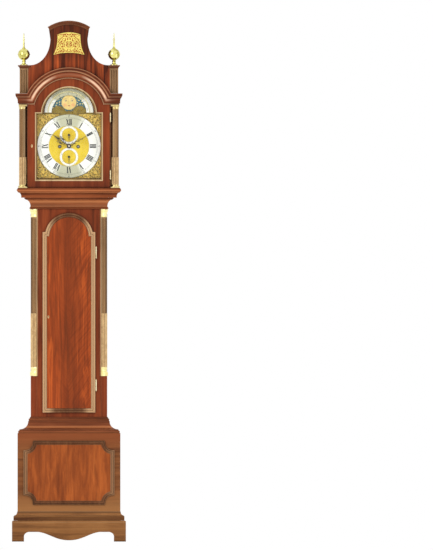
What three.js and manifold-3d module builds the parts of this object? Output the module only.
// Eight-day longcase (grandfather) clock: mahogany case in three parts (base, trunk and a hood that
// slides off forwards), a twelve-inch brass dial with moonwork in the arch, and a two-train movement
// with going weight, striking weight, bell and seconds pendulum.
// Millimetres, +Z up, -Y is the front. Origin on the floor, at the middle of the case's footprint.
import * as THREE from 'three';
import { mergeVertices } from 'three/addons/utils/BufferGeometryUtils.js';
import Module from 'manifold-3d';

const wasm = await Module();
wasm.setup();

// ---- driving dimensions ----
const GAP = 0.3; // clearance left between pieces that touch
const BACK = 135; // rear plane of the case, against the wall
const BOARD = 13; // backboard thickness
const WALL = 16; // case side and carcase wall thickness
const INSIDE_BACK = BACK - BOARD - GAP; // where case sides stop in front of the backboard

const SKIRT = { half: 266, top: 98, foot: 56, archTop: 47, drop: 6 };
const BASE = { half: 240, front: -109, bottom: 45, floor: 60, top: 507 };
const PLINTH = { project: 19, top: 120, ogeeTop: 141 };
const SURBASE = { project: 57, step: 20, neck: 9, neckZ: 60, top: 75 };
const TRUNK = { half: 178.5, front: -47.5, bottom: 507.3, top: 1606, frame: 18, sideBottom: 440 };
const COLUMN = { quarter: 28, postTop: 773, top: 1553 };
const DOOR = { half: 123, archHalf: 110, bottom: 602, shoulder: 1446, rise: 89, moulding: 21, lip: 12.5 };
const SEAT = { bottom: 1744.3, thick: 18, front: -30, back: 50 };
const HOOD_BASE = { bottom: 1606.3, top: 1651, lowProject: 44.5, topProject: 66.5 };
const HOOD = { inner: 204, outer: 219, sideFront: -64, top: 2040.7, bottom: 1651.3 };
const EAR = { half: 203, bottom: 1652, top: 2030 }; // where the backboard widens behind the hood
const WINDOW = { front: -25, back: 85, sill: 1725, spring: 1925 }; // hood side window
const HOOD_COLUMN = { x: 216, y: -85, shaft: 14.5, capital: 22, foot: 16 };
const HOOD_POST_BACK = -45;
const HOOD_DOOR = { left: -193, right: 190, bottom: 1653, front: -101, back: -82, archR: 166 };
const SIGHT = { half: 157.5, bottom: 1685, shoulder: 2002, archR: 132 };
const GLASS_FRONT = -93;
const MASK = { half: 195.7, openHalf: 148, openBottom: 1694, openR: 118, front: -78.5, back: -72.5 };
const ARCH_Z = 1995; // centre height of the cornice arch and of the hood door's top
const CORNICE = { bottom: 2041, height: 52, half: 233, face: -102, thick: 10, archR: 167 };
const TOP_BOARD = { half: 222.7, front: -91.7, thick: 12, well: 160, backOpen: 2150 };
const BELL_TOP = { rear: 108, skin: 9, frontThick: 13 };
const PAGODA = { half: 190, shoulder: 2215, footHalf: 182, footZ: 2225, neck: 86, neckZ: 2347 };
const CREST = { half: 96, corner: 2403, apex: 2433, thick: 19.5 };
const FRET = { footHalf: 72.5, foot: 2274, headHalf: 53, head: 2368, thick: 2 };
const POST = { x: 210.5, y: -72, width: 39.5, capWidth: 56, capHigh: 15, top: 2225 };

const DIAL = { z: 1847, half: 152.5, archZ: 2003, archR: 131, front: -70, back: -67.5 };
const RING = { outer: 148, inner: 94, thick: 1.7 };
const SUBDIAL_UP = 51.7; // seconds arbor above the centre
const SUBDIAL_DOWN = 50.4; // date arbor below the centre
const LUNAR_OUTER = 114;
const MOON = { r: 88, window: 81, hump: 32, humpX: 49, boss: 10, front: -66, back: -64.8 };
const PLATE = { half: 64, bottom: 1762.6, top: 1942, front: -29.5, back: 38, thick: 3.5 };
const ARBOR_SPAN = [PLATE.front + PLATE.thick + GAP, PLATE.back - GAP];
const BARREL = { x: 43, z: DIAL.z - 2.5, r: 22, bore: 5.5, arbor: 5, drum: [-8, 30] };
const ANCHOR_Z = 1928.4; // pallet arbor and pendulum suspension height
const PENDULUM = { y: 62, length: 994, bobR: 55, bobThick: 28, rodR: 3 };
const WEIGHT = { r: 30, height: 200, y: 6, pulleyZ: 530, pulleyR: 18.6, loop: 20.3, lineR: 1 };
const BELL = { r: 54, wall: 2.5, mouth: 1968, crown: 2020, y: 5 };

const HANDS = {
  minute: { length: 127, tilt: 60, y: -86 },
  hour: { length: 99, tilt: 305, y: -82, pipe: 6.5, bore: 3.6, wheel: 26, wheelY: -47 },
  small: { y: -75.5, pipe: 1.8, pipeTo: -45 },
};
const HINGE = { knuckle: 3, half: 26, z: [1350, 730] };
const HOOD_HINGE = { knuckle: 2.5, half: 20, y: -105.5, z: [1981, 1713] };
const GREAT_WHEEL = { r: 38.6, y: [-19, -16] };
const STRIKE = { pin: [-33, 1888], hoop: [-49, 1909.7], fly: [-37.5, 1925.3], hammer: [-60, 1888] };
const CRUTCH_LOW = ANCHOR_Z - 130;

const TAU = Math.PI * 2;

// ---- materials ----
function finish(color, roughness, metalness = 0) {
  return new THREE.MeshStandardMaterial({ color, roughness, metalness });
}
const mahogany = finish(0x7a3318, 0.35);
const darkMahogany = finish(0x4a2414, 0.4);
const flame = finish(0xa2431c, 0.3);
const brass = finish(0xc9a23f, 0.3, 0.9);
const giltDial = finish(0xd2a93a, 0.5, 0.8);
const silvered = finish(0xd9dccb, 0.4, 0.6);
const blued = finish(0x1c1c24, 0.35, 0.8);
const steel = finish(0x8a8c90, 0.35, 0.9);
const paint = finish(0x1f6a86, 0.6);
const clearGlass = new THREE.MeshStandardMaterial({
  color: 0xdfe8e6, roughness: 0.05, metalness: 0, transparent: true, opacity: 0.25,
});
const oak = finish(0x6b4a2c, 0.7);
const gut = finish(0xb79a66, 0.7);

// ---- solid helpers ----
function toSolid(geometry) {
  const bare = geometry.index ? geometry.toNonIndexed() : geometry.clone();
  bare.deleteAttribute('normal');
  bare.deleteAttribute('uv');
  const merged = mergeVertices(bare, 1e-3);
  return new wasm.Manifold(new wasm.Mesh({
    numProp: 3,
    vertProperties: merged.attributes.position.array,
    triVerts: new Uint32Array(merged.index.array),
  }));
}

function fromSolid(solid) {
  const m = solid.getMesh();
  const geometry = new THREE.BufferGeometry();
  geometry.setAttribute('position', new THREE.BufferAttribute(new Float32Array(m.vertProperties), 3));
  geometry.setIndex(new THREE.BufferAttribute(new Uint32Array(m.triVerts), 1));
  const flat = geometry.toNonIndexed();
  flat.computeVertexNormals();
  return flat;
}

function join(...pieces) {
  return fromSolid(pieces.map(toSolid).reduce((a, b) => a.add(b)));
}

function cut(piece, ...tools) {
  return fromSolid(tools.map(toSolid).reduce((a, b) => a.subtract(b), toSolid(piece)));
}

function overlapOf(a, b) {
  return fromSolid(toSolid(a).intersect(toSolid(b)));
}

function box(x, y, z) {
  const geometry = new THREE.BoxGeometry(x[1] - x[0], y[1] - y[0], z[1] - z[0]);
  return geometry.translate((x[0] + x[1]) / 2, (y[0] + y[1]) / 2, (z[0] + z[1]) / 2);
}

// A flat piece: an outline drawn in x and z, running from y0 back to y1.
function plate(shape, y0, y1, curveSegments = 12) {
  const geometry = new THREE.ExtrudeGeometry(shape, { depth: y1 - y0, bevelEnabled: false, curveSegments });
  return geometry.rotateX(Math.PI / 2).translate(0, y1, 0);
}

function outline(points) {
  return new THREE.Shape(points.map(([x, z]) => new THREE.Vector2(x, z)));
}

// A round piece along Y, from y0 to y1.
function rodY(x, z, r, y0, y1, sides = 12) {
  return new THREE.CylinderGeometry(r, r, y1 - y0, sides).translate(x, (y0 + y1) / 2, z);
}

// A round piece along Z, from z0 to z1.
function rodZ(x, y, r, z0, z1, sides = 12) {
  return new THREE.CylinderGeometry(r, r, z1 - z0, sides).rotateX(Math.PI / 2).translate(x, y, (z0 + z1) / 2);
}

// A turned piece about a vertical axis; the profile is [radius, height] from the bottom up.
function turned(x, y, profile, sides = 24) {
  const points = profile.map(([r, z]) => new THREE.Vector2(r, z));
  return new THREE.LatheGeometry(points, sides).rotateX(Math.PI / 2).translate(x, y, 0);
}

function disc(x, z, r, y0, y1, bore = 0, sides = 32) {
  const shape = new THREE.Shape().absarc(x, z, r, 0, TAU, false);
  if (bore > 0) shape.holes.push(new THREE.Path().absarc(x, z, bore, 0, TAU, true));
  return plate(shape, y0, y1, sides / 2);
}

// Skins a closed profile carried through a row of stations; rings[i] is the profile's points there.
function skin(rings, profile) {
  const n = profile.length;
  const positions = rings.flat();
  const triangles = [];
  for (let i = 0; i < rings.length - 1; i += 1) {
    for (let j = 0; j < n; j += 1) {
      const a = i * n + j;
      const b = i * n + ((j + 1) % n);
      triangles.push([a, b, b + n], [a, b + n, a + n]);
    }
  }
  const flat = profile.map(([u, v]) => new THREE.Vector2(u, v));
  const last = (rings.length - 1) * n;
  for (const [a, b, c] of THREE.ShapeUtils.triangulateShape(flat, [])) {
    triangles.push([c, b, a], [last + a, last + b, last + c]);
  }
  return facingOut(positions, triangles);
}

function facingOut(positions, triangles) {
  let volume = 0;
  for (const [a, b, c] of triangles) {
    volume += positions[a].dot(positions[b].clone().cross(positions[c]));
  }
  const order = volume < 0 ? ([a, b, c]) => [a, c, b] : (t) => t;
  const corners = triangles.flatMap(order).flatMap((i) => positions[i].toArray());
  const geometry = new THREE.BufferGeometry();
  geometry.setAttribute('position', new THREE.BufferAttribute(new Float32Array(corners), 3));
  geometry.computeVertexNormals();
  return geometry;
}

// A moulding run round three sides of a case with mitred front corners. The profile is
// [projection, height], measured out from a plan of the given half width and front plane.
function threeSided(profile, half, front, back) {
  const at = (x, y) => ([p, z]) => new THREE.Vector3(x(p), y(p), z);
  const rings = [
    at((p) => -half - p, () => back),
    at((p) => -half - p, (p) => front - p),
    at((p) => half + p, (p) => front - p),
    at((p) => half + p, () => back),
  ].map((place) => profile.map(place));
  return skin(rings, profile);
}

// A quarter-round hollow or swell between two profile points, bulging by the given fraction.
function sweepOver(from, to, bulge, steps = 5) {
  const points = [];
  for (let i = 1; i < steps; i += 1) {
    const t = i / steps;
    const s = bulge > 0 ? Math.sin((t * Math.PI) / 2) : 1 - Math.cos((t * Math.PI) / 2);
    const u = bulge > 0 ? 1 - Math.cos((t * Math.PI) / 2) : Math.sin((t * Math.PI) / 2);
    points.push([from[0] + (to[0] - from[0]) * s, from[1] + (to[1] - from[1]) * u]);
  }
  return points;
}

const group = new THREE.Group();

function add(name, geometry, material) {
  const mesh = new THREE.Mesh(geometry, material);
  mesh.name = name;
  group.add(mesh);
}

// ---- base ----

// The underside of a bracket skirting seen square on: two feet, an arch beside each and a drop between.
function skirtArches(half, foot) {
  const spring = half - foot;
  const shape = new THREE.Shape();
  shape.moveTo(-spring, -1);
  shape.lineTo(-spring, SKIRT.archTop * 0.55);
  shape.quadraticCurveTo(-spring + 4, SKIRT.archTop, -spring + 40, SKIRT.archTop);
  shape.bezierCurveTo(-spring * 0.45, SKIRT.archTop, -spring * 0.35, SKIRT.drop, 0, SKIRT.drop);
  shape.bezierCurveTo(spring * 0.35, SKIRT.drop, spring * 0.45, SKIRT.archTop, spring - 40, SKIRT.archTop);
  shape.quadraticCurveTo(spring - 4, SKIRT.archTop, spring, SKIRT.archTop * 0.55);
  shape.lineTo(spring, -1);
  return shape;
}

function sideArch() {
  const shape = new THREE.Shape();
  const near = -BACK + SKIRT.foot;
  const far = BACK - SKIRT.foot;
  shape.moveTo(near, -1);
  shape.quadraticCurveTo(near + 4, SKIRT.archTop, near + 45, SKIRT.archTop);
  shape.lineTo(far - 45, SKIRT.archTop);
  shape.quadraticCurveTo(far - 4, SKIRT.archTop, far, -1);
  return shape;
}

function bracketSkirting() {
  const project = SKIRT.half - BASE.half;
  const { top } = SKIRT;
  const profile = [[GAP, 0], [project, 0], [project, top - 5], [project - 4, top], [GAP, top]];
  const body = threeSided(profile, BASE.half, BASE.front, BACK);
  const front = plate(skirtArches(SKIRT.half, SKIRT.foot), -BACK - 1, BASE.front + 1, 8);
  const across = new THREE.ExtrudeGeometry(sideArch(), {
    depth: 2 * SKIRT.half + 2, bevelEnabled: false, curveSegments: 6,
  });
  // The outline's x runs along Y and its y runs up: turn it so that the depth lies along X.
  across.rotateX(Math.PI / 2).rotateZ(Math.PI / 2).translate(-SKIRT.half - 1, 0, 0);
  return cut(body, front, across);
}

function baseCarcase() {
  const { project, top, ogeeTop } = PLINTH;
  const profile = [
    [-WALL, BASE.bottom], [0, BASE.bottom], [0, SKIRT.top + GAP], [project, SKIRT.top + GAP],
    [project, top], [project - 5, top + 4], ...sweepOver([project - 5, top + 4], [0, ogeeTop], 1),
    [0, ogeeTop], [0, BASE.top], [-WALL, BASE.top],
  ];
  const walls = threeSided(profile, BASE.half, BASE.front, INSIDE_BACK);
  const inner = BASE.half - WALL + 1;
  const floor = box([-inner, inner], [BASE.front + WALL - 1, INSIDE_BACK], [BASE.bottom, BASE.floor]);
  return join(walls, floor);
}

// Hollow moulding that steps the base in to the trunk.
function baseCornice() {
  const z = TRUNK.bottom;
  const { project, step, neck, neckZ, top } = SURBASE;
  const profile = [
    [GAP, z], [project, z], [project + 2, z + 6], [project, z + 12], [project - 4, z + 14],
    [project - 4, z + step], ...sweepOver([project - 4, z + step], [neck, z + neckZ], 1, 6),
    [neck, z + neckZ], [neck, z + neckZ + 6], [neck - 4, z + neckZ + 8], [neck - 4, top + z - 4],
    [neck - 7, top + z], [GAP, top + z],
  ];
  return threeSided(profile, TRUNK.half, TRUNK.front, BACK);
}

add('bracket_skirting', bracketSkirting(), mahogany);
add('base_carcase', baseCarcase(), flame);
add('base_cornice', baseCornice(), mahogany);

// ---- trunk ----

function backboard() {
  const low = BASE.half;
  const high = TRUNK.half;
  const tongue = TOP_BOARD.well - GAP;
  const right = [
    [low, BASE.bottom], [low, BASE.top], [high, BASE.top], [high, EAR.bottom], [EAR.half, EAR.bottom],
    [EAR.half, EAR.top], [tongue, EAR.top], [tongue, TOP_BOARD.backOpen - 5],
  ];
  const points = [...right, ...right.map(([x, z]) => [-x, z]).reverse()];
  return plate(outline(points), BACK - BOARD, BACK);
}

// The trunk door's outline: straight sides, small square shoulders and a segmental arch.
function doorOutline(inset) {
  const half = DOOR.half - inset;
  const radius = (DOOR.archHalf ** 2 + DOOR.rise ** 2) / (2 * DOOR.rise);
  const centre = DOOR.shoulder + DOOR.rise - radius;
  const r = radius - inset;
  const shoulder = DOOR.shoulder - inset;
  const start = Math.asin((shoulder - centre) / r);
  const shape = new THREE.Shape();
  shape.moveTo(-half, DOOR.bottom + inset);
  shape.lineTo(half, DOOR.bottom + inset);
  shape.lineTo(half, shoulder);
  shape.lineTo(r * Math.cos(start), shoulder);
  shape.absarc(0, centre, r, start, Math.PI - start, false);
  shape.lineTo(-half, shoulder);
  return shape;
}

function trunkFront() {
  const half = TRUNK.half - COLUMN.quarter - GAP;
  const board = box([-half, half], [TRUNK.front, TRUNK.front + TRUNK.frame], [TRUNK.bottom, TRUNK.top]);
  const opening = plate(doorOutline(DOOR.lip - 0.7), TRUNK.front - 1, TRUNK.front + TRUNK.frame + 1);
  return cut(board, opening);
}

function trunkDoor() {
  const face = TRUNK.front - GAP;
  const lipped = plate(doorOutline(0), face - 9, face);
  const recess = plate(doorOutline(DOOR.moulding), face - 10, face - 4);
  const body = plate(doorOutline(DOOR.lip), face - 1, TRUNK.front + TRUNK.frame);
  return join(cut(lipped, recess), body);
}

function trunkSide(side) {
  const x = [TRUNK.half - WALL, TRUNK.half].map((v) => v * side).sort((a, b) => a - b);
  const front = TRUNK.front + COLUMN.quarter + GAP;
  // Clear of the base moulding below and carrying the seatboard above.
  return box(x, [front, INSIDE_BACK], [TRUNK.sideBottom, SEAT.bottom - GAP]);
}

// Corner post of the trunk: square blocks below and above, and a quarter column between them.
function trunkColumn(side) {
  const cx = side * (TRUNK.half - COLUMN.quarter);
  const cy = TRUNK.front + COLUMN.quarter;
  const q = COLUMN.quarter;
  const low = COLUMN.postTop;
  const high = COLUMN.top;
  const profile = [
    [0, low], [q + 2, low], [q + 2, low + 12], [q, low + 16], [q, low + 38], [q - 3, low + 42],
    [q - 3, high - 44], [q, high - 38], [q, high - 14], [q + 4, high - 8], [q + 4, high], [0, high],
  ];
  const reach = q + 10;
  const x = [cx, cx + side * reach].sort((a, b) => a - b);
  const corner = box(x, [cy - reach, cy], [low - 1, high + 1]);
  const quarter = overlapOf(turned(cx, cy, profile, 32), corner);
  const xs = [cx, cx + side * q].sort((a, b) => a - b);
  const below = box(xs, [TRUNK.front, cy], [TRUNK.bottom, low + 1]);
  const above = box(xs, [TRUNK.front, cy], [high - 1, TRUNK.top]);
  return join(quarter, below, above);
}

// Hollow moulding under the hood.
function throatMoulding() {
  const z = COLUMN.top + GAP;
  const top = TRUNK.top;
  const profile = [
    [GAP, z], [4, z], [6, z + 5], [4, z + 10], [2, z + 13], ...sweepOver([2, z + 13], [25, top - 8], -1, 6),
    [25, top - 8], [29.5, top - 7], [29.5, top], [GAP, top],
  ];
  return threeSided(profile, TRUNK.half, TRUNK.front, BACK);
}

function trunkHinge(z) {
  const x = DOOR.half + HINGE.knuckle + 0.8;
  const y = TRUNK.front - 7;
  const up = [z - HINGE.half, z + HINGE.half];
  const leaf = box([x - 1, x + 14], [TRUNK.front - 2, TRUNK.front - GAP], up);
  const web = box([x - 1, x + 2], [y, TRUNK.front - GAP], up);
  return join(rodZ(x, y, HINGE.knuckle, ...up), leaf, web);
}

add('backboard', backboard(), oak);
add('trunk_side_left', trunkSide(-1), mahogany);
add('trunk_side_right', trunkSide(1), mahogany);
add('trunk_front', trunkFront(), mahogany);
add('trunk_column_left', trunkColumn(-1), darkMahogany);
add('trunk_column_right', trunkColumn(1), darkMahogany);
add('throat_moulding', throatMoulding(), mahogany);
add('trunk_door', trunkDoor(), flame);
add('trunk_hinge_top', trunkHinge(HINGE.z[0]), brass);
add('trunk_hinge_bottom', trunkHinge(HINGE.z[1]), brass);

// ---- hood ----

function hoodBase() {
  const { bottom, top, lowProject, topProject } = HOOD_BASE;
  const profile = [
    [1, bottom], [lowProject, bottom], [lowProject, bottom + 8],
    ...sweepOver([lowProject, bottom + 8], [topProject - 6, bottom + 26], 1),
    [topProject - 6, bottom + 26], [topProject - 6, bottom + 30], [topProject, bottom + 33],
    [topProject, top - 4], [topProject - 2, top], [1, top],
  ];
  return threeSided(profile, TRUNK.half, TRUNK.front, BACK);
}

function hoodSide(side) {
  const span = (a, b) => [a * side, b * side].sort((p, q) => p - q);
  const up = [HOOD.bottom, HOOD.top];
  const board = box(span(HOOD.inner, HOOD.outer), [HOOD.sideFront, BACK], up);
  const post = box(span(MASK.half + GAP, HOOD.inner + 2), [HOOD.sideFront, HOOD_POST_BACK], up);
  const { front, back, sill, spring } = WINDOW;
  const window = new THREE.Shape();
  window.moveTo(front, sill);
  window.lineTo(back, sill);
  window.lineTo(back, spring);
  window.absarc((front + back) / 2, spring, (back - front) / 2, 0, Math.PI, false);
  const depth = HOOD.outer - HOOD.inner + 20;
  const hole = new THREE.ExtrudeGeometry(window, { depth, bevelEnabled: false, curveSegments: 8 });
  // The outline's x runs along Y and its y runs up: turn it so that the depth lies along X.
  hole.rotateX(Math.PI / 2).rotateZ(Math.PI / 2).translate(span(HOOD.inner, HOOD.outer)[0] - 10, 0, 0);
  return cut(join(board, post), hole);
}

// Full-height outline shared by the hood door and the mask behind it.
function hoodOutline(left, right, bottom, shoulder, radius) {
  const start = Math.asin((shoulder - ARCH_Z) / radius);
  const shape = new THREE.Shape();
  shape.moveTo(left, bottom);
  shape.lineTo(right, bottom);
  shape.lineTo(right, shoulder);
  shape.lineTo(radius * Math.cos(start), shoulder);
  shape.absarc(0, ARCH_Z, radius, start, Math.PI - start, false);
  shape.lineTo(left, shoulder);
  return shape;
}

// Square opening with an arched top, for the glass and for the dial mask.
function sightOpening(half, bottom, shoulder, radius) {
  const path = new THREE.Path();
  path.moveTo(-half, bottom);
  path.lineTo(-half, shoulder);
  path.lineTo(-radius, shoulder);
  path.absarc(0, shoulder, radius, Math.PI, 0, true);
  path.lineTo(half, shoulder);
  path.lineTo(half, bottom);
  return path;
}

function hoodDoor() {
  const { left, right, bottom, front, back, archR } = HOOD_DOOR;
  const shape = hoodOutline(left, right, bottom, CORNICE.bottom - 1, archR);
  shape.holes.push(sightOpening(SIGHT.half, SIGHT.bottom, SIGHT.shoulder, SIGHT.archR));
  const frame = plate(shape, front, back);
  return cut(frame, plate(glassShape(0.5), GLASS_FRONT - 0.5, back + 1));
}

function glassShape(grow) {
  const half = SIGHT.half + 5 + grow;
  const path = sightOpening(half, SIGHT.bottom - 5 - grow, SIGHT.shoulder, SIGHT.archR + 5 + grow);
  return new THREE.Shape(path.getPoints(12));
}

function hoodFront() {
  const shape = hoodOutline(-MASK.half, MASK.half, HOOD.bottom, HOOD.top, HOOD_DOOR.archR);
  shape.holes.push(sightOpening(MASK.openHalf, MASK.openBottom, SIGHT.shoulder, MASK.openR));
  return plate(shape, MASK.front, MASK.back);
}

// The hood's cornice: along both sides and the front, and up over the arch in the middle. Where the
// level front run meets the arch, both have risen by the same amount, which gives the mitre.
function archCornice() {
  const h = CORNICE.height;
  const profile = [
    [-CORNICE.thick, 0], [1, 0], [2, 5], [6, 7], [6, 10], ...sweepOver([6, 10], [12, 32], -1, 4),
    [12, 32], [13, 36], ...sweepOver([13, 36], [17, h - 4.5], 1, 3), [17, h - 4.5], [17, h],
    [-CORNICE.thick, h],
  ];
  const level = (x, y) => ([p, s]) => new THREE.Vector3(x(p), y(p), CORNICE.bottom + s);
  const { half, face, archR } = CORNICE;
  const steps = 20;
  const arch = (i) => ([p, s]) => {
    const r = archR + s;
    const low = Math.asin((CORNICE.bottom - ARCH_Z + s) / r);
    const angle = Math.PI - low - ((Math.PI - 2 * low) * i) / steps;
    return new THREE.Vector3(r * Math.cos(angle), face - p, ARCH_Z + r * Math.sin(angle));
  };
  const places = [level((p) => -half - p, () => BACK), level((p) => -half - p, (p) => face - p)];
  for (let i = 0; i <= steps; i += 1) places.push(arch(i));
  places.push(level((p) => half + p, (p) => face - p), level((p) => half + p, () => BACK));
  return skin(places.map((place) => profile.map(place)), profile);
}

// The pagoda's outline: hollow sides rising to a neck, then flaring to the crest.
function pagodaOutline(inset, bottom) {
  const { half, shoulder, footHalf, footZ, neck, neckZ } = PAGODA;
  const right = [[half - inset, bottom], [half - inset, shoulder - inset]];
  const steps = 10;
  for (let i = 0; i <= steps; i += 1) {
    const t = (Math.PI / 2) * (1 - i / steps);
    const x = footHalf - (footHalf - neck) * Math.cos(t) - inset;
    right.push([x, neckZ - (neckZ - footZ) * Math.sin(t) - inset * Math.sin(t)]);
  }
  right.push([CREST.half - 5 - inset, CREST.corner - 4 - inset]);
  const radius = crestRadius() - inset - 1;
  const centre = CREST.apex - crestRadius();
  const start = Math.acos((CREST.half - 6 - inset) / radius);
  const arc = [];
  for (let i = 0; i <= steps; i += 1) {
    const angle = start + ((Math.PI - 2 * start) * i) / steps;
    arc.push([radius * Math.cos(angle), centre + radius * Math.sin(angle)]);
  }
  const left = right.map(([x, z]) => [-x, z]).reverse();
  return outline([...right, ...arc, ...left]);
}

function crestRadius() {
  const rise = CREST.apex - CREST.corner;
  return (CREST.half ** 2 + rise ** 2) / (2 * rise);
}

function bellTop() {
  const { half, front, thick } = TOP_BOARD;
  const z = CORNICE.bottom;
  const { rear, skin: skinThick, frontThick } = BELL_TOP;
  const hollowFront = front + frontThick;
  const board = box([-half, half], [front, BACK], [z, z + thick]);
  const shell = plate(pagodaOutline(0, z), front, rear);
  const hollow = plate(pagodaOutline(skinThick, z - 1), hollowFront, rear - skinThick);
  const doorway = disc(0, ARCH_Z, CORNICE.archR + 1.5, front - 1, MASK.back + GAP, 0, 48);
  const posts = [-1, 1].map((side) => finialPost(side));
  const well = box([-TOP_BOARD.well, TOP_BOARD.well], [hollowFront, BACK + 1], [z - 1, z + thick + 1]);
  // The back stays open up to here, so that the hood draws off forwards over the dial and the bell.
  const inside = PAGODA.half - skinThick;
  const back = box([-inside, inside], [rear - skinThick - 1, rear + 1], [z + thick, TOP_BOARD.backOpen]);
  return cut(cut(join(board, shell, ...posts), hollow), well, doorway, back);
}

function finialPost(side) {
  const { x, y, width, capWidth, capHigh, top } = POST;
  const w = width / 2;
  const c = capWidth / 2;
  const cx = side * x;
  const across = [side * (PAGODA.half - 2), cx + side * w].sort((a, b) => a - b);
  const shaft = box(across, [y - w, y + w], [CORNICE.bottom + CORNICE.height + GAP, top - capHigh + 1]);
  const cap = box([cx - c, cx + c], [y - c, y + c], [top - capHigh, top]);
  return join(shaft, cap);
}

function crestMoulding() {
  const outer = crestRadius();
  const centre = CREST.apex - outer;
  const half = Math.asin(CREST.half / outer);
  const shape = new THREE.Shape();
  shape.absarc(0, centre, outer, Math.PI / 2 - half, Math.PI / 2 + half, false);
  shape.absarc(0, centre, outer - CREST.thick, Math.PI / 2 + half, Math.PI / 2 - half, true);
  return plate(shape, TOP_BOARD.front - 12, TOP_BOARD.front - GAP, 14);
}

// Pierced sound fret at the neck, with hollow sides and an arched top and foot.
function soundFret() {
  const { footHalf, foot, headHalf, head, thick } = FRET;
  const waist = headHalf - 1;
  const waistZ = foot + 36;
  const shape = new THREE.Shape();
  shape.moveTo(-footHalf, foot);
  shape.quadraticCurveTo(0, foot + 18, footHalf, foot);
  shape.quadraticCurveTo(waist, waistZ, headHalf, head);
  shape.quadraticCurveTo(0, head + 22, -headHalf, head);
  shape.quadraticCurveTo(-waist, waistZ, -footHalf, foot);
  const back = TOP_BOARD.front - GAP;
  return plate(shape, back - thick, back, 8);
}

// Brass ball finial with a spire, standing on its post.
function finial(side) {
  const z = POST.top + GAP;
  const ball = { r: 26, z: z + 49 };
  const profile = [[0, z], [18, z], [18, z + 3], [11, z + 8], [7.5, z + 16], [9, z + 22]];
  for (let i = 0; i <= 6; i += 1) {
    const a = -1.2 + (2.4 * i) / 6;
    profile.push([ball.r * Math.cos(a), ball.z + ball.r * Math.sin(a)]);
  }
  profile.push([7, ball.z + 30], [4.5, ball.z + 40], [3.4, ball.z + 70], [5.5, ball.z + 76]);
  profile.push([2.4, ball.z + 80], [0, ball.z + 91]);
  return turned(side * POST.x, POST.y, profile, 16);
}

function hoodColumn(side) {
  const { x, y, shaft, capital, foot } = HOOD_COLUMN;
  const z = HOOD.bottom;
  const top = CORNICE.bottom - GAP;
  const r = shaft;
  const profile = [
    [0, z], [r + 6.5, z], [r + 6.5, z + 5], [r + 3.5, z + 9], [r + 3.5, z + 13], [r, z + foot],
    [r, top - capital], [r + 2.5, top - 20], [r + 2.5, top - 16], [r + 1, top - 13], [r + 2, top - 8],
    [r + 5, top - 5], [r + 5, top], [0, top],
  ];
  return turned(side * x, y, profile, 16);
}

function hoodHinge(z) {
  const { knuckle, half, y } = HOOD_HINGE;
  const x = HOOD_DOOR.right + knuckle + 1.1;
  const up = [z - half, z + half];
  return join(rodZ(x, y, knuckle, ...up), box([x + 0.2, x + 1.8], [y, MASK.front - GAP], up));
}

add('hood_base', hoodBase(), mahogany);
add('hood_side_left', hoodSide(-1), mahogany);
add('hood_side_right', hoodSide(1), mahogany);
add('hood_front', hoodFront(), darkMahogany);
add('arch_cornice', archCornice(), mahogany);
add('bell_top', bellTop(), darkMahogany);
add('crest_moulding', crestMoulding(), mahogany);
add('sound_fret', soundFret(), brass);
add('finial_left', finial(-1), brass);
add('finial_right', finial(1), brass);
add('hood_column_left', hoodColumn(-1), darkMahogany);
add('hood_column_right', hoodColumn(1), darkMahogany);
add('hood_door', hoodDoor(), mahogany);
add('hood_door_glass', plate(glassShape(0), GLASS_FRONT, GLASS_FRONT + 2.5), clearGlass);
add('hood_hinge_top', hoodHinge(HOOD_HINGE.z[0]), brass);
add('hood_hinge_bottom', hoodHinge(HOOD_HINGE.z[1]), brass);

// ---- dial ----

// Window for the moon: a half circle with two humps and a small boss standing up into it.
function moonWindow() {
  const z = DIAL.archZ;
  const { window, hump, humpX, boss } = MOON;
  const path = new THREE.Path();
  path.absarc(0, z, window, 0, Math.PI, false);
  path.absarc(-humpX, z, hump, Math.PI, 0, true);
  path.absarc(0, z, boss, Math.PI, 0, true);
  path.absarc(humpX, z, hump, Math.PI, 0, true);
  return new THREE.Shape(path.getPoints(10));
}

function dialPlate() {
  const { z, half, archZ, archR, front, back } = DIAL;
  const bottom = z - half;
  const shape = new THREE.Shape();
  shape.moveTo(-half, bottom);
  shape.lineTo(half, bottom);
  shape.lineTo(half, archZ - 3);
  shape.lineTo(archR, archZ - 3);
  shape.absarc(0, archZ, archR, 0, Math.PI, false);
  shape.lineTo(-archR, archZ - 3);
  shape.lineTo(-half, archZ - 3);
  const blank = plate(shape, front, back, 20);
  const through = (x, dz, r) => rodY(x, z + dz, r, front - 1, back + 1);
  return cut(
    blank, plate(moonWindow(), front - 1, back + 1), through(0, 0, 7.5), through(0, SUBDIAL_UP, 2.5),
    through(0, -SUBDIAL_DOWN, 2.5), ...[-BARREL.x, BARREL.x].map((x) => through(x, BARREL.z - z, 6.5)),
  );
}

function chapterRing() {
  const back = DIAL.front - GAP;
  return disc(0, DIAL.z, RING.outer, back - RING.thick, back, RING.inner, 40);
}

function lunarRing() {
  const z = DIAL.archZ;
  const shape = new THREE.Shape();
  shape.absarc(0, z, LUNAR_OUTER, 0, Math.PI, false);
  shape.absarc(0, z, MOON.window + 1, Math.PI, 0, true);
  return plate(shape, DIAL.front - RING.thick - GAP, DIAL.front - GAP, 20);
}

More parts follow.
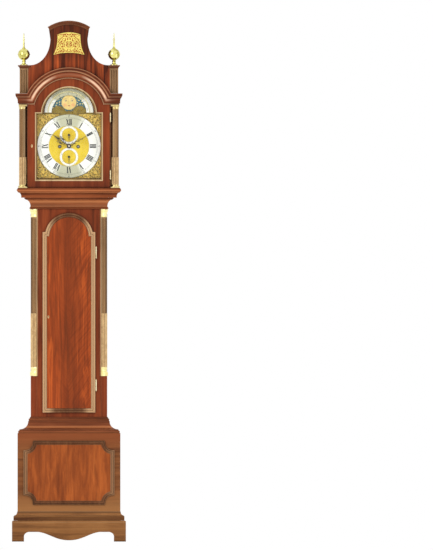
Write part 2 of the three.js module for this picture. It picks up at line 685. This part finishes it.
// A flat hand with its boss, on a pipe or arbor that runs back through the dial. Tilt is in degrees
// clockwise from twelve, seen from the front.
function hand({ length, tilt, y, width, pipe, bore = 0, pipeTo, fretted = false }) {
  const side = [[width / 2, 0]];
  if (fretted) {
    side.push([width * 0.7, length * 0.3], [width * 2.2, length * 0.55], [width * 0.5, length * 0.72]);
  }
  side.push([0.5, length]);
  const blade = outline([...side, ...side.map(([x, z]) => [-x, z]).reverse()]);
  const boss = rodY(0, 0, pipe + 3, y - 0.6, y + 1.6, 16);
  let whole = join(plate(blade, y, y + 1), boss, rodY(0, 0, pipe, y, pipeTo, 16));
  if (bore > 0) whole = cut(whole, rodY(0, 0, bore, y - 2, pipeTo + 1, 16));
  return whole.rotateY((tilt * Math.PI) / 180);
}

function onDial(geometry, dz = 0) {
  return geometry.translate(0, 0, DIAL.z + dz);
}

function minuteHand() {
  return hand({ ...HANDS.minute, width: 4, pipe: 3, pipeTo: PLATE.front - 1 });
}

// The hour hand's pipe carries the hour wheel behind the dial.
function hourHand() {
  const { wheel, wheelY, bore } = HANDS.hour;
  const blade = hand({ ...HANDS.hour, width: 6, pipeTo: wheelY + 3, fretted: true });
  const rim = rodY(0, 0, wheel, wheelY, wheelY + 2, 32);
  return join(blade, cut(rim, rodY(0, 0, bore, wheelY - 1, wheelY + 3, 16)));
}

function smallHand(length) {
  return hand({ ...HANDS.small, length, tilt: 180, width: 2 });
}

function moonDisc() {
  const z = DIAL.archZ;
  const plateDisc = disc(0, z, MOON.r, MOON.front, MOON.back, 0, 48);
  return join(plateDisc, rodY(0, z, 4, MOON.back - 0.2, PLATE.front - 14));
}

add('dial_plate', dialPlate(), giltDial);
add('chapter_ring', chapterRing(), silvered);
add('lunar_ring', lunarRing(), silvered);
add('moon_disc', moonDisc(), paint);
add('minute_hand', onDial(minuteHand()), blued);
add('hour_hand', onDial(hourHand()), blued);
add('seconds_hand', onDial(smallHand(32), SUBDIAL_UP), blued);
add('date_hand', onDial(smallHand(34), -SUBDIAL_DOWN), blued);

// ---- movement ----

function frontPlate() {
  const { half, bottom, top, front, thick } = PLATE;
  const blank = box([-half, half], [front, front + thick], [bottom, top]);
  const bore = BARREL.arbor + 0.8;
  const windings = [-1, 1].map((s) => rodY(s * BARREL.x, BARREL.z, bore, front - 1, front + thick + 1, 16));
  return cut(blank, ...windings);
}

// Back plate with the five pillars riveted to it and the back cock.
function backPlate() {
  const { half, bottom, top, back, thick } = PLATE;
  const rear = back + thick;
  const crutchHole = rodY(0, ANCHOR_Z, 7, back - 1, rear + 1);
  const blank = cut(box([-half, half], [back, rear], [bottom, top]), crutchHole);
  const posts = [[-57, 1770], [57, 1770], [-50, 1936], [50, 1936], [0, 1785]];
  const pillars = posts.map(([x, z]) => rodY(x, z, 4.5, ARBOR_SPAN[0], back + 1));
  const y = PENDULUM.y;
  const legZ = [ANCHOR_Z + 8, ANCHOR_Z + 13];
  const cockLegs = [-16, 16].map((x) => box([x - 4, x + 4], [rear - 1, y + 8], legZ));
  const bridge = box([-20, 20], [y + 4, y + 8], [ANCHOR_Z - 8, ANCHOR_Z + 13]);
  return join(blank, ...pillars, ...cockLegs, bridge);
}

// Bent iron stand: up from the back plate, forward under the bell and up inside it to the crown.
function bellStand() {
  const rear = PLATE.back + PLATE.thick + GAP;
  const level = BELL.mouth - 16;
  return join(
    box([20, 28], [rear, rear + 4], [PLATE.top - 30, level + 5]),
    box([-4, 28], [rear, rear + 4], [level, level + 5]),
    box([-4, 4], [BELL.y - 3, rear + 4], [level, level + 5]),
    rodZ(0, BELL.y, 3, level + 1, BELL.crown - BELL.wall - 1),
  );
}

// One wheel with its pinion and arbor between the plates.
function wheelAndPinion(x, z, wheelR, wheelY, pinionR, pinionY, thick = 2.5) {
  const [from, to] = ARBOR_SPAN;
  return join(
    rodY(x, z, 1.8, from, to, 10), rodY(x, z, wheelR, wheelY, wheelY + thick, 32),
    rodY(x, z, pinionR, pinionY, pinionY + 8, 12),
  );
}

function greatWheel(x) {
  return disc(x, BARREL.z, GREAT_WHEEL.r, ...GREAT_WHEEL.y, BARREL.bore, 40);
}

function barrel(side) {
  const x = side * BARREL.x;
  const { z, r, arbor, drum } = BARREL;
  return join(
    rodY(x, z, r, drum[0], drum[1], 28), rodY(x, z, r + 4, drum[0] - 2, drum[0], 28),
    rodY(x, z, arbor, DIAL.front - 1, ARBOR_SPAN[1], 14),
  );
}

const LINE_X = BARREL.x + BARREL.r + WEIGHT.lineR + 0.4; // where a line leaves its barrel
const WEIGHT_X = LINE_X - WEIGHT.loop;

// Gut line from the barrel down round the weight's pulley and up to the seatboard.
function gutLine(side) {
  const { pulleyZ, loop, lineR, y } = WEIGHT;
  const path = [[LINE_X, BARREL.z]];
  const steps = 10;
  for (let i = 0; i <= steps; i += 1) {
    const a = -(Math.PI * i) / steps;
    path.push([WEIGHT_X + loop * Math.cos(a), pulleyZ + loop * Math.sin(a)]);
  }
  path.push([WEIGHT_X - loop, SEAT.bottom - GAP]);
  const sides = 8;
  const section = [];
  for (let k = 0; k < sides; k += 1) {
    section.push([lineR * Math.cos((TAU * k) / sides), lineR * Math.sin((TAU * k) / sides)]);
  }
  const rings = path.map(([x, z], i) => {
    const a = path[Math.max(i - 1, 0)];
    const b = path[Math.min(i + 1, path.length - 1)];
    const run = new THREE.Vector2(b[0] - a[0], b[1] - a[1]).normalize();
    return section.map(([u, v]) => new THREE.Vector3(side * (x + run.y * u), y + v, z - run.x * u));
  });
  return skin(rings, section);
}

function driveWeight(side) {
  const { r, height, pulleyZ, pulleyR, y } = WEIGHT;
  const x = side * WEIGHT_X;
  const top = pulleyZ - 45;
  const shell = turned(x, y, [
    [0, top - height], [r - 4, top - height], [r, top - height + 4], [r, top - 4], [r - 4, top], [0, top],
  ], 28);
  const stirrup = [top - 1, pulleyZ + 4];
  const cheeks = [y - 6, y + 3].map((from) => box([x - 2.5, x + 2.5], [from, from + 3], stirrup));
  const pulley = rodY(x, pulleyZ, pulleyR, y - 2, y + 2, 28);
  return join(shell, ...cheeks, pulley, rodY(x, pulleyZ, 2.5, y - 6, y + 6));
}

function seatboard() {
  const { bottom, thick, front, back } = SEAT;
  const board = box([-TRUNK.half, TRUNK.half], [front, back], [bottom, bottom + thick]);
  const slotY = [BARREL.drum[0] - 8, BARREL.drum[1] + 4];
  const slots = [-LINE_X, LINE_X].map((x) => box([x - 5, x + 5], slotY, [bottom - 1, bottom + thick + 1]));
  return cut(board, ...slots);
}

function pendulumRod() {
  const { y, length, bobR, rodR } = PENDULUM;
  const low = ANCHOR_Z - length - bobR - 42;
  const rod = rodZ(0, y, rodR, low, ANCHOR_Z - 30, 12);
  const spring = box([-6, 6], [y - 0.4, y + 0.4], [ANCHOR_Z - 31, ANCHOR_Z + 6]);
  const chops = box([-7, 7], [y - 3, y + 3], [ANCHOR_Z - 40, ANCHOR_Z - 26]);
  const nut = rodZ(0, y, 10, low + 12, low + 20, 16);
  return join(rod, spring, chops, nut);
}

function pendulumBob() {
  const { y, length, bobR, bobThick, rodR } = PENDULUM;
  const z = ANCHOR_Z - length;
  const h = bobThick / 2;
  const side = [[0, h], [bobR * 0.45, h * 0.93], [bobR * 0.8, h * 0.62], [bobR - 1, 2]];
  const profile = [...side.map(([r, t]) => [r, -t]), ...side.reverse()];
  const points = profile.map(([r, t]) => new THREE.Vector2(r, t));
  const lens = new THREE.LatheGeometry(points, 36).translate(0, y, z);
  const slot = rodR + 0.5;
  return cut(lens, box([-slot, slot], [y - slot, y + slot], [z - bobR - 2, z + bobR + 2]));
}

// Recoil anchor: arbor, two arms reaching down beside the escape wheel, and the crutch behind.
function anchor() {
  const y = 14;
  const arms = outline([
    [-5, 6], [5, 6], [27, -10], [30, -27], [26, -26], [22, -12], [0, -6],
    [-22, -12], [-26, -26], [-30, -27], [-27, -10],
  ]);
  const pallets = plate(arms, y, y + 5).translate(0, 0, ANCHOR_Z);
  const arbor = rodY(0, ANCHOR_Z, 2, ARBOR_SPAN[0], PENDULUM.y - 8);
  const crutch = box([-2, 2], [PENDULUM.y - 11, PENDULUM.y - 8], [CRUTCH_LOW, ANCHOR_Z + 4]);
  return join(pallets, arbor, crutch);
}

function bell() {
  const { r, wall, mouth, crown, y } = BELL;
  const high = crown - mouth;
  const steps = 6;
  const profile = [];
  for (let i = 0; i <= steps; i += 1) {
    const t = (Math.PI / 2) * (i / steps);
    profile.push([r * Math.cos(t), mouth + high * Math.sin(t)]);
  }
  for (let i = steps; i >= 0; i -= 1) {
    const t = (Math.PI / 2) * (i / steps);
    profile.push([(r - wall) * Math.cos(t), mouth + (high - wall) * Math.sin(t)]);
  }
  profile.push(profile[0].slice());
  profile[steps][0] = 0;
  profile[steps + 1][0] = 0;
  return turned(0, y, profile, 24);
}

// Bell hammer: arbor between the plates, arm and head standing beside the bell's rim.
function hammer() {
  const [x, z] = STRIKE.hammer;
  const { y } = BELL;
  const [from, to] = ARBOR_SPAN;
  return join(
    rodY(x, z, 2, from, to, 10),
    box([x - 1.5, x + 1.5], [y - 3, y + 3], [z, BELL.mouth + 1]),
    new THREE.CylinderGeometry(6, 6, 16, 14).rotateZ(Math.PI / 2).translate(x - 6, y, BELL.mouth + 5),
  );
}

function fly() {
  const [x, z] = STRIKE.fly;
  return join(rodY(x, z, 1.6, ...ARBOR_SPAN, 10), box([x - 10, x + 10], [-8, 10], [z - 0.5, z + 0.5]));
}

add('seatboard', seatboard(), oak);
add('front_plate', frontPlate(), brass);
add('back_plate', backPlate(), brass);
add('going_great_wheel', greatWheel(BARREL.x), brass);
add('going_barrel', barrel(1), brass);
add('centre_wheel', wheelAndPinion(0, DIAL.z, 29, 33.5, 2.9, -21), brass);
add('third_wheel', wheelAndPinion(16, DIAL.z + 30.5, 22.8, -14.5, 3, 29), brass);
add('escape_wheel', wheelAndPinion(0, DIAL.z + SUBDIAL_UP, 21, 15, 2.5, -17), brass);
add('anchor', anchor(), steel);
add('pendulum_rod', pendulumRod(), steel);
add('pendulum_bob', pendulumBob(), brass);
add('strike_great_wheel', greatWheel(-BARREL.x), brass);
add('strike_barrel', barrel(-1), brass);
add('pin_wheel', wheelAndPinion(...STRIKE.pin, 23.6, -14.5, 2.5, -23), brass);
add('hoop_wheel', wheelAndPinion(...STRIKE.hoop, 16.5, -21.5, 2, -17), brass);
add('fly', fly(), steel);
add('hammer', hammer(), steel);
add('bell_stand', bellStand(), steel);
add('bell', bell(), brass);
add('going_weight', driveWeight(1), brass);
add('strike_weight', driveWeight(-1), brass);
add('going_line', gutLine(1), gut);
add('strike_line', gutLine(-1), gut);

export default group;
